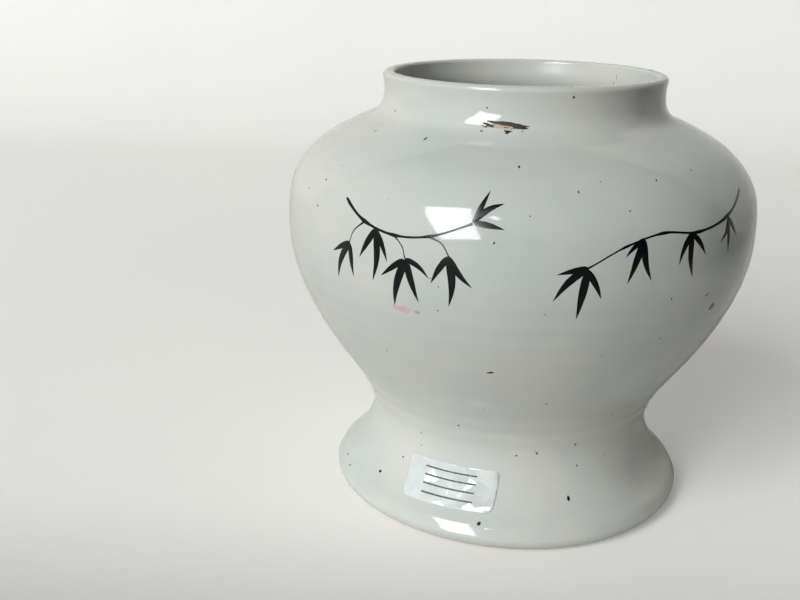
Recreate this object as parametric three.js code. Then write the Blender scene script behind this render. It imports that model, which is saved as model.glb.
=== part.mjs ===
// A Chinese baluster jar with a short straight neck and a spreading foot.
// Such a jar is thrown in sections, trimmed, and luted together with clay slip before glazing.
// Every section is its own ring here, and each luting seam is the thin ring of slip between two of them.
// Units are millimetres, +Z is up, and the origin is the centre of the foot ring's resting face.
import * as THREE from "three";

// Radius of the outer silhouette at each of its rings, from the foot up
const footRadius = 55.4;
const flareRadius = 49.1;
const waistRadius = 44.1;
const lowerBodyRadius = 59.1;
const bellyRadius = 70.8;
const shoulderRadius = 59.9;
const neckRadius = 41.6;
const lipRadius = 42.3;

// Rise of each ring above the one before it; the first stands above the resting face
const footRise = 4.2;
const flareRise = 7.4;
const waistRise = 13.4;
const lowerBodyRise = 28;
const bellyRise = 33;
const shoulderRise = 25.2;
const neckRootRise = 8.3;
const neckRise = 11.5;

// Lean of the silhouette, as change of radius over change of height; the other rings stand upright
const flareLean = -0.66;
const lowerBodyLean = 0.62;
const shoulderLean = -1.38;
const neckRootLean = -2.4;

// Neck: how far its root spreads, how it eases out of the shoulder, and where it turns out to the lip
const neckRootSpread = 1.6;
const neckEaseSpread = 0.3;
const neckEaseRise = 1.6;
const neckPinch = 0.2;
const lipFlareDrop = 5.5;
const neckInnerDrop = 6;
const lipRound = 1.3;
const lipInnerRound = 1.04;

// Walls
const neckWall = 3.4;
const shoulderWall = 4.2;
const bodyWall = 4.6;
const footWall = 5.2;

// Foot ring, its rounded toe, and the floor that closes the jar inside the foot
const ringWidth = 4.2;
const ringDepth = 7.5;
const ringOuterRadius = 51.4;
const ringChamfer = 0.9;
const toeEase = 0.2;
const floorThickness = 4.4;
const floorClearance = 0.3;
const floorSetIn = 0.2;
const floorFillet = 2.4;
const filletHollow = 0.48;

// Luting slip between the sections, and the place of each seam from the silhouette's rings
const slipThickness = 0.6;
const slipBead = 0.9;
const slipRecess = 0.2;
const waistSeamAboveWaist = 2.5;
const bellySeamBelowBelly = 6;
const neckSeamBelowRoot = 1.1;

// Small clear label on the front of the foot
const labelWidth = 29.5;
const labelHeight = 11.1;
const labelAboveFootRing = 5.5;
const labelThickness = 0.25;
const labelGap = 0.3;
const labelAzimuth = -20.2;
const labelTilt = 1;
const labelCorner = 1.6;

// Fineness of the curves
const segments = 64;
const slopeStep = 0.05;
const heightPrecision = 1e-4;
const steps = {
  toe: 4,
  foot: 8,
  footInside: 4,
  floorFillet: 3,
  lowerBody: 9,
  lowerBodyInside: 7,
  shoulder: 11,
  shoulderInside: 8,
  neck: 8,
  lip: 3,
  lipInside: 2,
  labelAcross: 16,
  labelUp: 4,
  labelCorner: 3,
};

// Heights of the rings
const footHeight = footRise;
const flareHeight = footHeight + flareRise;
const waistHeight = flareHeight + waistRise;
const lowerBodyHeight = waistHeight + lowerBodyRise;
const bellyHeight = lowerBodyHeight + bellyRise;
const shoulderHeight = bellyHeight + shoulderRise;
const neckRootHeight = shoulderHeight + neckRootRise;
const jarHeight = neckRootHeight + neckRise;

// Heights of the seams
const waistSeamHeight = waistHeight + waistSeamAboveWaist;
const bellySeamHeight = bellyHeight - bellySeamBelowBelly;
const neckSeamHeight = neckRootHeight - neckSeamBelowRoot;

// Materials
const glaze = new THREE.MeshStandardMaterial({ color: 0xc9cec9, roughness: 0.12, metalness: 0 });
const floorGlaze = new THREE.MeshStandardMaterial({ color: 0xc3c8c3, roughness: 0.18, metalness: 0 });
const slip = new THREE.MeshStandardMaterial({ color: 0xd6d1c4, roughness: 0.85, metalness: 0 });
const film = new THREE.MeshStandardMaterial({ color: 0xdfe6e4, roughness: 0.22, metalness: 0 });

// The outer silhouette is one smooth curve through the rings.
const silhouette = [
  { height: footHeight, radius: footRadius, lean: 0 },
  { height: flareHeight, radius: flareRadius, lean: flareLean },
  { height: waistHeight, radius: waistRadius, lean: 0 },
  { height: lowerBodyHeight, radius: lowerBodyRadius, lean: lowerBodyLean },
  { height: bellyHeight, radius: bellyRadius, lean: 0 },
  { height: shoulderHeight, radius: shoulderRadius, lean: shoulderLean },
  { height: neckRootHeight, radius: neckRadius + neckRootSpread, lean: neckRootLean },
];

// Radius of the outer silhouette at a height, by a cubic Hermite piece between two rings.
function outerRadius(height) {
  const last = silhouette.length - 1;
  let i = 0;
  while (i < last - 1 && height > silhouette[i + 1].height) i += 1;
  const a = silhouette[i];
  const b = silhouette[i + 1];
  const span = b.height - a.height;
  const t = THREE.MathUtils.clamp((height - a.height) / span, 0, 1);
  const t2 = t * t;
  const t3 = t2 * t;
  return (
    a.radius * (2 * t3 - 3 * t2 + 1) +
    a.lean * span * (t3 - 2 * t2 + t) +
    b.radius * (3 * t2 - 2 * t3) +
    b.lean * span * (t3 - t2)
  );
}

// Wall thickness changes evenly from the waist up to the neck's root.
function wallAt(height) {
  if (height <= waistHeight) return footWall;
  if (height <= bellyHeight) {
    return THREE.MathUtils.mapLinear(height, waistHeight, bellyHeight, footWall, bodyWall);
  }
  return THREE.MathUtils.mapLinear(height, bellyHeight, neckRootHeight, bodyWall, shoulderWall);
}

// The inner wall follows the outer one, set in along the outer surface's normal.
function innerPoint(height) {
  const lean = (outerRadius(height + slopeStep) - outerRadius(height - slopeStep)) / (2 * slopeStep);
  const length = Math.hypot(1, lean);
  const wall = wallAt(height);
  return new THREE.Vector2(outerRadius(height) - wall / length, height + (wall * lean) / length);
}

// Radius of the inner wall at a height, found by halving the span that holds it.
function innerRadius(height) {
  let low = footHeight;
  let high = neckRootHeight;
  while (high - low > heightPrecision) {
    const middle = (low + high) / 2;
    if (innerPoint(middle).y < height) low = middle;
    else high = middle;
  }
  return innerPoint((low + high) / 2).x;
}

// Evenly spaced values from one end to the other, both ends included.
function spaced(from, to, count) {
  return Array.from({ length: count + 1 }, (_, i) => from + ((to - from) * i) / count);
}

function outerWall(from, to, count) {
  return spaced(from, to, count).map((h) => new THREE.Vector2(outerRadius(h), h));
}

function innerWall(from, to, count) {
  return spaced(from, to, count).map((h) => new THREE.Vector2(innerRadius(h), h));
}

// Turns a closed section, drawn as radius and height, round the jar's axis.
function ring(name, section, material) {
  const closed = [...section, section[0].clone()];
  const geometry = new THREE.LatheGeometry(closed, segments);
  geometry.rotateX(Math.PI / 2);
  const mesh = new THREE.Mesh(geometry, material);
  mesh.name = name;
  return mesh;
}

// An arc of the section from angle to angle, in degrees, 0 outwards and 90 up.
function arc(radius, height, size, fromDegrees, toDegrees, count) {
  return spaced(fromDegrees, toDegrees, count).map((degrees) => {
    const a = THREE.MathUtils.degToRad(degrees);
    return new THREE.Vector2(radius + size * Math.cos(a), height + size * Math.sin(a));
  });
}

// The floor sits in a bore of the foot, just inside the wall above it.
const floorTop = ringDepth + floorThickness;
const floorBoreRadius = innerRadius(floorTop) - floorSetIn;
const floorRadius = floorBoreRadius - floorClearance;
const ringInnerRadius = ringOuterRadius - ringWidth;

// Spreading foot: the flared outer wall, the rounded toe, and the ring that the jar stands on.
function spreadingFoot() {
  const seam = waistSeamHeight - slipThickness / 2;
  const toe = new THREE.QuadraticBezierCurve(
    new THREE.Vector2(ringOuterRadius, 0),
    new THREE.Vector2(footRadius, toeEase),
    new THREE.Vector2(footRadius, footHeight),
  ).getPoints(steps.toe);
  const section = [
    ...toe,
    ...outerWall(footHeight, seam, steps.foot).slice(1),
    ...innerWall(seam, floorTop, steps.footInside),
    new THREE.Vector2(floorBoreRadius, floorTop),
    new THREE.Vector2(floorBoreRadius, ringDepth),
    new THREE.Vector2(ringInnerRadius, ringDepth),
    new THREE.Vector2(ringInnerRadius, ringChamfer),
    new THREE.Vector2(ringInnerRadius + ringChamfer, 0),
  ];
  return ring("spreading_foot", section, glaze);
}

// Floor of the jar, a trimmed disc set inside the foot above the recess.
function floorDisc() {
  const section = [
    new THREE.Vector2(0, ringDepth),
    new THREE.Vector2(floorRadius, ringDepth),
    new THREE.Vector2(floorRadius, floorTop),
    new THREE.Vector2(0, floorTop),
  ];
  return ring("floor_disc", section, floorGlaze);
}

function lowerBody() {
  const low = waistSeamHeight + slipThickness / 2;
  const high = bellySeamHeight - slipThickness / 2;
  const outside = outerWall(low, high, steps.lowerBody);
  const inside = innerWall(high, low, steps.lowerBodyInside);
  return ring("lower_body", [...outside, ...inside], glaze);
}

function shoulderSection() {
  const low = bellySeamHeight + slipThickness / 2;
  const high = neckSeamHeight - slipThickness / 2;
  const outside = outerWall(low, high, steps.shoulder);
  const inside = innerWall(high, low, steps.shoulderInside);
  return ring("shoulder_section", [...outside, ...inside], glaze);
}

// Neck: a short collar that flares a little to a rounded lip with a narrow flat top.
function neckCollar() {
  const low = neckSeamHeight + slipThickness / 2;
  const outside = new THREE.CubicBezierCurve(
    new THREE.Vector2(outerRadius(low), low),
    new THREE.Vector2(neckRadius + neckEaseSpread, low + neckEaseRise),
    new THREE.Vector2(neckRadius - neckPinch, jarHeight - lipFlareDrop),
    new THREE.Vector2(lipRadius, jarHeight - lipRound),
  ).getPoints(steps.neck);
  const innerLip = lipRadius - neckWall + lipInnerRound;
  const section = [
    ...outside.slice(0, -1),
    ...arc(lipRadius - lipRound, jarHeight - lipRound, lipRound, 0, 90, steps.lip),
    ...arc(innerLip, jarHeight - lipInnerRound, lipInnerRound, 90, 180, steps.lipInside),
    new THREE.Vector2(neckRadius - neckWall, jarHeight - neckInnerDrop),
    new THREE.Vector2(innerRadius(low), low),
  ];
  return ring("neck_collar", section, glaze);
}

// Slip squeezed from a joint: a little inside the outer wall, with a low bead left on the inner one.
function slipSeam(name, height) {
  const low = height - slipThickness / 2;
  const high = height + slipThickness / 2;
  const inner = Math.min(innerRadius(low), innerRadius(high));
  const section = [
    new THREE.Vector2(outerRadius(low) - slipRecess, low),
    new THREE.Vector2(outerRadius(high) - slipRecess, high),
    new THREE.Vector2(inner, high),
    new THREE.Vector2(inner - slipBead, height),
    new THREE.Vector2(inner, low),
  ];
  return ring(name, section, slip);
}

// The floor's seam is a fillet of slip in the corner between the floor and the wall.
function floorSlipSeam() {
  const foot = Math.min(innerRadius(floorTop) - floorClearance, floorRadius);
  const head = innerRadius(floorTop + floorFillet) - floorClearance;
  const hollow = new THREE.QuadraticBezierCurve(
    new THREE.Vector2(head, floorTop + floorFillet),
    new THREE.Vector2(head - filletHollow, floorTop + filletHollow),
    new THREE.Vector2(head - floorFillet, floorTop),
  ).getPoints(steps.floorFillet);
  return ring("floor_slip_seam", [new THREE.Vector2(foot, floorTop), ...hollow], slip);
}

// Radius of the foot's wall as it is drawn, in straight steps, which the label has to clear.
const footOutline = outerWall(footHeight, waistSeamHeight - slipThickness / 2, steps.foot);
function footWallRadius(height) {
  const above = footOutline.findIndex((point) => point.y > height);
  const next = footOutline[Math.max(above, 1)];
  const before = footOutline[Math.max(above, 1) - 1];
  return THREE.MathUtils.mapLinear(height, before.y, next.y, before.x, next.x);
}

// Heights of the label's rows from its middle: close together round its corners, wider between them.
function labelRows() {
  const straight = labelHeight / 2 - labelCorner;
  const round = arc(0, straight, labelCorner, 0, 90, steps.labelCorner).map((point) => point.y);
  const between = spaced(-straight, straight, steps.labelUp).slice(1, -1);
  return [...round.map((v) => -v).reverse(), ...between, ...round];
}

// A point of the label, from its place across and up, wrapped on the foot at a distance off it.
function labelPoint(across, up, lift) {
  const tilt = THREE.MathUtils.degToRad(labelTilt);
  const middle = footHeight + labelAboveFootRing + labelHeight / 2;
  const height = middle + across * Math.sin(tilt) + up * Math.cos(tilt);
  const base = footWallRadius(height);
  const run = across * Math.cos(tilt) - up * Math.sin(tilt);
  const azimuth = THREE.MathUtils.degToRad(labelAzimuth) + run / base;
  const radius = base + labelGap + lift;
  return [radius * Math.sin(azimuth), -radius * Math.cos(azimuth), height];
}

// The clear label: two layers of points a film's thickness apart, closed round the edge.
function footLabel() {
  const rows = labelRows();
  const columns = spaced(-1, 1, steps.labelAcross);
  const straight = labelHeight / 2 - labelCorner;
  const positions = [];
  for (const lift of [0, labelThickness]) {
    for (const up of rows) {
      const reach = Math.max(Math.abs(up) - straight, 0);
      const cut = labelCorner - Math.sqrt(Math.max(labelCorner ** 2 - reach ** 2, 0));
      for (const share of columns) positions.push(...labelPoint(share * (labelWidth / 2 - cut), up, lift));
    }
  }
  const width = columns.length;
  const layer = width * rows.length;
  const lastColumn = width - 1;
  const lastRow = rows.length - 1;
  const faces = [];
  const quad = (a, b, c, d) => faces.push(a, b, c, a, c, d);
  for (let row = 0; row < lastRow; row += 1) {
    for (let column = 0; column < lastColumn; column += 1) {
      const a = row * width + column;
      quad(a + layer, a + 1 + layer, a + 1 + width + layer, a + width + layer);
      quad(a, a + width, a + 1 + width, a + 1);
    }
  }
  const edge = [];
  for (let column = 0; column < lastColumn; column += 1) edge.push(column);
  for (let row = 0; row < lastRow; row += 1) edge.push(row * width + lastColumn);
  for (let column = lastColumn; column > 0; column -= 1) edge.push(lastRow * width + column);
  for (let row = lastRow; row > 0; row -= 1) edge.push(row * width);
  edge.forEach((a, i) => {
    const b = edge[(i + 1) % edge.length];
    quad(a, b, b + layer, a + layer);
  });
  const geometry = new THREE.BufferGeometry();
  geometry.setAttribute("position", new THREE.Float32BufferAttribute(positions, 3));
  geometry.setIndex(faces);
  geometry.computeVertexNormals();
  const mesh = new THREE.Mesh(geometry, film);
  mesh.name = "foot_label";
  return mesh;
}

const jar = new THREE.Group();
jar.add(spreadingFoot(), floorDisc(), lowerBody(), shoulderSection(), neckCollar());
jar.add(slipSeam("waist_slip_seam", waistSeamHeight));
jar.add(slipSeam("belly_slip_seam", bellySeamHeight));
jar.add(slipSeam("neck_slip_seam", neckSeamHeight));
jar.add(floorSlipSeam());
jar.add(footLabel());

export default jar;
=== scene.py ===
"""A glazed porcelain baluster jar, dressed round its packed sections.

The wall is one continuous coat of pale grey-green glaze over the thrown sections. On it lie a spray of
brushed ink bamboo, iron specks, a scorched flaw at the root of the neck, a smear of pink enamel, wear
along the lip, and a small clear label on the foot.
"""

from __future__ import annotations

import logging
import math
import random
from dataclasses import dataclass, field
from enum import Enum
from typing import Callable, Iterable, Sequence

import bmesh
import bpy
import numpy as np
from mathutils import Matrix, Vector
from mathutils.bvhtree import BVHTree


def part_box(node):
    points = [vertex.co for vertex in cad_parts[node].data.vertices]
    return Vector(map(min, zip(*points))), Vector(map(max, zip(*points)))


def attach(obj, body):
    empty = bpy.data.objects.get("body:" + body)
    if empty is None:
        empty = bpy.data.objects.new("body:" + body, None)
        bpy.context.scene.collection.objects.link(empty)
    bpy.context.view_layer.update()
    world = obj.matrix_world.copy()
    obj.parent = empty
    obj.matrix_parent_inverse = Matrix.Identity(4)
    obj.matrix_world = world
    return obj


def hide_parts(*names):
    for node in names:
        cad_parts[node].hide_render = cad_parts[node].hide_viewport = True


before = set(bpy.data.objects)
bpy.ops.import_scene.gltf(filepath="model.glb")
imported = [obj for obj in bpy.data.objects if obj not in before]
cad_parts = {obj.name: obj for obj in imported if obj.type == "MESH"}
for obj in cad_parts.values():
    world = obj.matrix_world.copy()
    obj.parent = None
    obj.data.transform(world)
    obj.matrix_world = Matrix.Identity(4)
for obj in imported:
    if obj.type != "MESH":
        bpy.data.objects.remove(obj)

log = logging.getLogger("jar")

MM = 0.001
BODY = "root"
CAD_FACETS = 64
IMAGE_WIDTH = 800

Point = tuple[float, float]
Colour = tuple[float, float, float]
Spot = Callable[[float, float, float], Vector]


class Wall(Enum):
    """The two sides of the jar's wall."""

    OUTER = "outer"
    INNER = "inner"


class Blemish(Enum):
    """Marks that the kiln and long use left on the jar."""

    IRON_SPECK = "iron_specks"
    BARE_CLAY = "flaw_bare_clay"
    SCORCH = "flaw_scorch"
    LIP_WEAR = "lip_wear"
    PINK_SMEAR = "pink_smear"
    HAIRLINE = "neck_hairline"


def to_linear(red: float, green: float, blue: float) -> tuple[float, float, float, float]:
    """Turn a colour as seen on a screen, 0 to 255, into Blender's linear one.

    Args:
        red: Red from 0 to 255.
        green: Green from 0 to 255.
        blue: Blue from 0 to 255.

    Returns:
        The linear colour with an alpha of 1.
    """

    def channel(value: float) -> float:
        """Undo the screen's curve for one channel."""
        share = value / 255
        return share / 12.92 if share <= 0.04045 else ((share + 0.055) / 1.055) ** 2.4

    return channel(red), channel(green), channel(blue), 1.0


class Nodes:
    """A material's node tree with short ways to add and join nodes."""

    def __init__(self, name: str) -> None:
        """Make an empty node material.

        Args:
            name: The material's name.
        """
        self.material = bpy.data.materials.new(name)
        self.material.use_nodes = True
        self.tree = self.material.node_tree
        self.tree.nodes.clear()
        self.output = self.tree.nodes.new("ShaderNodeOutputMaterial")

    def add(self, kind: str, **values: object) -> bpy.types.Node:
        """Add a node and set its properties or sockets.

        Args:
            kind: The node's Blender type.
            **values: Property names, or socket names with _ for a space.

        Returns:
            The new node.
        """
        node = self.tree.nodes.new(kind)
        for key, value in values.items():
            socket = node.inputs.get(key.replace("_", " "))
            if socket is not None:
                socket.default_value = value
            else:
                setattr(node, key, value)
        return node

    def join(self, source: bpy.types.NodeSocket, target: bpy.types.NodeSocket) -> None:
        """Link one socket to another."""
        self.tree.links.new(source, target)

    def shader(self, **values: object) -> bpy.types.Node:
        """Add the surface shader and join it to the output."""
        node = self.add("ShaderNodeBsdfPrincipled", **values)
        self.join(node.outputs[0], self.output.inputs[0])
        return node

    def noise(self, scale: float, detail: float, roughness: float = 0.5) -> bpy.types.NodeSocket:
        """Add a noise texture in the jar's own coordinates.

        Args:
            scale: How many features there are to a metre.
            detail: How many finer layers it has.
            roughness: How strong the finer layers are.

        Returns:
            The noise's value.
        """
        where = self.add("ShaderNodeTexCoord")
        node = self.add("ShaderNodeTexNoise", Scale=scale, Detail=detail, Roughness=roughness)
        self.join(where.outputs["Object"], node.inputs["Vector"])
        return node.outputs["Fac"]

    def held(self, name: str) -> bpy.types.NodeSocket:
        """Read a value that each point of the mesh holds."""
        return self.add("ShaderNodeAttribute", attribute_name=name).outputs["Fac"]

    def maths(self, kind: str, *values: bpy.types.NodeSocket | float) -> bpy.types.NodeSocket:
        """Add a maths node.

        Args:
            kind: The operation.
            *values: Sockets or numbers, in order.

        Returns:
            The result's socket.
        """
        node = self.add("ShaderNodeMath", operation=kind)
        for socket, value in zip(node.inputs, values):
            if isinstance(value, bpy.types.NodeSocket):
                self.join(value, socket)
            else:
                socket.default_value = value
        return node.outputs[0]

    def ramp(
        self, source: bpy.types.NodeSocket, stops: Sequence[tuple[float, Sequence[float]]]
    ) -> bpy.types.NodeSocket:
        """Add a colour ramp driven by a socket.

        Args:
            source: What drives the ramp.
            stops: Pairs of a place from 0 to 1 and a linear colour.

        Returns:
            The ramp's colour.
        """
        node = self.add("ShaderNodeValToRGB")
        elements = node.color_ramp.elements
        elements.remove(elements[-1])
        elements[0].position, elements[0].color = stops[0]
        for place, colour in stops[1:]:
            elements.new(place).color = colour
        self.join(source, node.inputs[0])
        return node.outputs[0]

    def blend(
        self, share: bpy.types.NodeSocket, first: bpy.types.NodeSocket, second: Sequence[float]
    ) -> bpy.types.NodeSocket:
        """Mix a colour into another by a share.

        Args:
            share: The share of the second colour.
            first: The first colour's socket.
            second: The second colour, linear.

        Returns:
            The mixed colour.
        """
        node = self.add("ShaderNodeMix", data_type="RGBA")
        self.join(share, node.inputs[0])
        self.join(first, node.inputs[6])
        node.inputs[7].default_value = second
        return node.outputs[2]

    def step(self, source: bpy.types.NodeSocket, low: float, high: float) -> bpy.types.NodeSocket:
        """Rise smoothly from 0 to 1 between two values of a socket."""
        node = self.add("ShaderNodeMapRange", interpolation_type="SMOOTHSTEP", From_Min=low, From_Max=high)
        self.join(source, node.inputs["Value"])
        return node.outputs[0]

    def bump(self, height: bpy.types.NodeSocket, strength: float, distance: float) -> bpy.types.NodeSocket:
        """Add a bump node driven by a height."""
        node = self.add("ShaderNodeBump", Strength=strength, Distance=distance)
        self.join(height, node.inputs["Height"])
        return node.outputs[0]


@dataclass(frozen=True)
class GlazeFinish:
    """Pale grey-green porcelain glaze: cloudy in tone, orange-peeled, creamy where it is thin."""

    name: str = "pale_glaze"
    cool: Colour = (197, 203, 198)
    warm: Colour = (209, 209, 202)
    thin: Colour = (214, 205, 184)
    cloud_scale: float = 26.0
    peel_scale: float = 240.0
    wave_scale: float = 42.0
    peel_depth: float = 0.16 * MM
    roughness: float = 0.075
    inside_roughness: float = 0.3

    def build(self) -> bpy.types.Material:
        """Make the glaze material.

        Returns:
            The material.
        """
        n = Nodes(self.name)
        clouds = n.noise(self.cloud_scale, 4.0, 0.55)
        tone = n.ramp(clouds, [(0.36, to_linear(*self.cool)), (0.66, to_linear(*self.warm))])
        patchy = n.maths("MULTIPLY", n.held("thin"), n.noise(190.0, 3.0, 0.6))
        share = n.maths("MULTIPLY", patchy, 1.5)
        colour = n.blend(share, tone, to_linear(*self.thin))
        peel = n.maths("MULTIPLY", n.noise(self.peel_scale, 2.0, 0.4), 0.22)
        height = n.maths("ADD", peel, n.noise(self.wave_scale, 2.0, 0.5))
        shader = n.shader(IOR=1.5)
        rougher = self.inside_roughness - self.roughness
        rough = n.maths("MULTIPLY_ADD", n.held("inside"), rougher, self.roughness)
        n.join(rough, shader.inputs["Roughness"])
        n.join(colour, shader.inputs["Base Color"])
        n.join(n.bump(height, 0.4, self.peel_depth), shader.inputs["Normal"])
        return n.material


@dataclass(frozen=True)
class BiscuitFinish:
    """Bare fired clay on the foot ring: cream, matt, a little gritty and soiled."""

    name: str = "bare_biscuit"
    clean: Colour = (214, 204, 186)
    soiled: Colour = (168, 150, 126)
    soil_scale: float = 120.0
    grit_scale: float = 900.0

    def build(self) -> bpy.types.Material:
        """Make the bare clay material.

        Returns:
            The material.
        """
        n = Nodes(self.name)
        soil = n.noise(self.soil_scale, 5.0, 0.6)
        tone = n.ramp(soil, [(0.42, to_linear(*self.clean)), (0.7, to_linear(*self.soiled))])
        shader = n.shader(Roughness=0.82)
        n.join(tone, shader.inputs["Base Color"])
        n.join(n.bump(n.noise(self.grit_scale, 3.0, 0.6), 0.5, 0.2 * MM), shader.inputs["Normal"])
        return n.material


@dataclass(frozen=True)
class MarkFinish:
    """A mark whose core fades through a halo into the glaze round it."""

    name: str
    core: Colour
    halo: Colour
    glaze: Colour = (203, 208, 203)
    roughness: float = 0.2
    mottle_scale: float = 1400.0
    mottle: float = 0.35
    halo_place: float = 0.42
    core_place: float = 0.65

    def build(self) -> bpy.types.Material:
        """Make the mark's material, which reads the fade held by each point.

        Returns:
            The material.
        """
        n = Nodes(self.name)
        mottle = n.noise(self.mottle_scale, 3.0, 0.6)
        uneven = n.maths("MULTIPLY_ADD", mottle, self.mottle, n.held("fade"))
        stops = [
            (0.2, to_linear(*self.glaze)),
            (self.halo_place, to_linear(*self.halo)),
            (self.core_place, to_linear(*self.core)),
        ]
        shader = n.shader(Roughness=self.roughness)
        n.join(n.ramp(uneven, stops), shader.inputs["Base Color"])
        return n.material


@dataclass(frozen=True)
class InkFinish:
    """Black enamel ink: dense where the brush was wet, greyer where it ran dry."""

    name: str = "brushed_ink"
    wet: Colour = (9, 11, 14)
    dry: Colour = (60, 63, 62)
    streak_scale: float = 700.0

    def build(self) -> bpy.types.Material:
        """Make the ink material.

        Returns:
            The material.
        """
        n = Nodes(self.name)
        streak = n.noise(self.streak_scale, 4.0, 0.7)
        dryness = n.maths("MULTIPLY", streak, n.held("dry"))
        shader = n.shader(Roughness=0.24)
        tone = n.ramp(dryness, [(0.3, to_linear(*self.wet)), (0.62, to_linear(*self.dry))])
        n.join(tone, shader.inputs["Base Color"])
        return n.material


@dataclass(frozen=True)
class FilmFinish:
    """Clear film of a small label: pale and glossy, crumpled into flat facets that glint."""

    name: str = "label_film"
    tint: Colour = (206, 214, 212)
    pale: Colour = (219, 225, 224)
    cloud_scale: float = 150.0
    facet_scale: float = 290.0
    facet_tilt: float = 0.42

    def build(self) -> bpy.types.Material:
        """Make the film material.

        Returns:
            The material.
        """
        n = Nodes(self.name)
        clouds = n.noise(self.cloud_scale, 3.0, 0.5)
        tone = n.ramp(clouds, [(0.4, to_linear(*self.tint)), (0.62, to_linear(*self.pale))])
        where = n.add("ShaderNodeTexCoord")
        facets = n.add("ShaderNodeTexVoronoi", Scale=self.facet_scale)
        n.join(where.outputs["Object"], facets.inputs["Vector"])
        centred = n.add("ShaderNodeVectorMath", operation="SUBTRACT")
        n.join(facets.outputs["Color"], centred.inputs[0])
        centred.inputs[1].default_value = (0.5, 0.5, 0.5)
        tilt = n.add("ShaderNodeVectorMath", operation="MULTIPLY")
        n.join(centred.outputs[0], tilt.inputs[0])
        tilt.inputs[1].default_value = (self.facet_tilt, self.facet_tilt, self.facet_tilt)
        lean = n.add("ShaderNodeVectorMath", operation="ADD")
        n.join(tilt.outputs[0], lean.inputs[0])
        n.join(n.add("ShaderNodeNewGeometry").outputs["Normal"], lean.inputs[1])
        normal = n.add("ShaderNodeVectorMath", operation="NORMALIZE")
        n.join(lean.outputs[0], normal.inputs[0])
        shader = n.shader(Roughness=0.1, IOR=1.5)
        n.join(tone, shader.inputs["Base Color"])
        n.join(normal.outputs[0], shader.inputs["Normal"])
        return n.material


@dataclass(frozen=True)
class PrintFinish:
    """Black thermal print of the label's ruled lines, a little worn."""

    name: str = "label_print"
    fresh: Colour = (40, 42, 44)
    worn: Colour = (112, 115, 116)
    grain_scale: float = 1800.0

    def build(self) -> bpy.types.Material:
        """Make the print material.

        Returns:
            The material.
        """
        n = Nodes(self.name)
        grain = n.noise(self.grain_scale, 2.0, 0.5)
        shader = n.shader(Roughness=0.5)
        tone = n.ramp(grain, [(0.4, to_linear(*self.fresh)), (0.75, to_linear(*self.worn))])
        n.join(tone, shader.inputs["Base Color"])
        return n.material


def catmull_rom(knots: np.ndarray, count: int) -> np.ndarray:
    """Run a smooth curve through points.

    Args:
        knots: The points, one a row.
        count: How many points the curve gets.

    Returns:
        The curve's points, one a row.
    """
    padded = np.vstack([2 * knots[0] - knots[1], knots, 2 * knots[-1] - knots[-2]])
    spans = len(knots) - 1
    made = []
    for place in np.linspace(0, spans, count):
        i = min(int(place), spans - 1)
        t = place - i
        a, b, c, d = padded[i : i + 4]
        square = 2 * a - 5 * b + 4 * c - d
        cube = 3 * b - a - 3 * c + d
        made.append(0.5 * (2 * b + (c - a) * t + square * t**2 + cube * t**3))
    return np.array(made)


def arc(centre: Point, size: float, start: float, end: float, count: int) -> list[Point]:
    """Points on an arc of a section.

    Args:
        centre: The arc's centre as radius and height.
        size: The arc's radius.
        start: The first angle in degrees, 0 outwards and 90 up.
        end: The last angle in degrees.
        count: How many steps it takes.

    Returns:
        The points as radius and height.
    """
    angles = [math.radians(start + (end - start) * i / count) for i in range(count + 1)]
    return [(centre[0] + size * math.cos(a), centre[1] + size * math.sin(a)) for a in angles]


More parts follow.
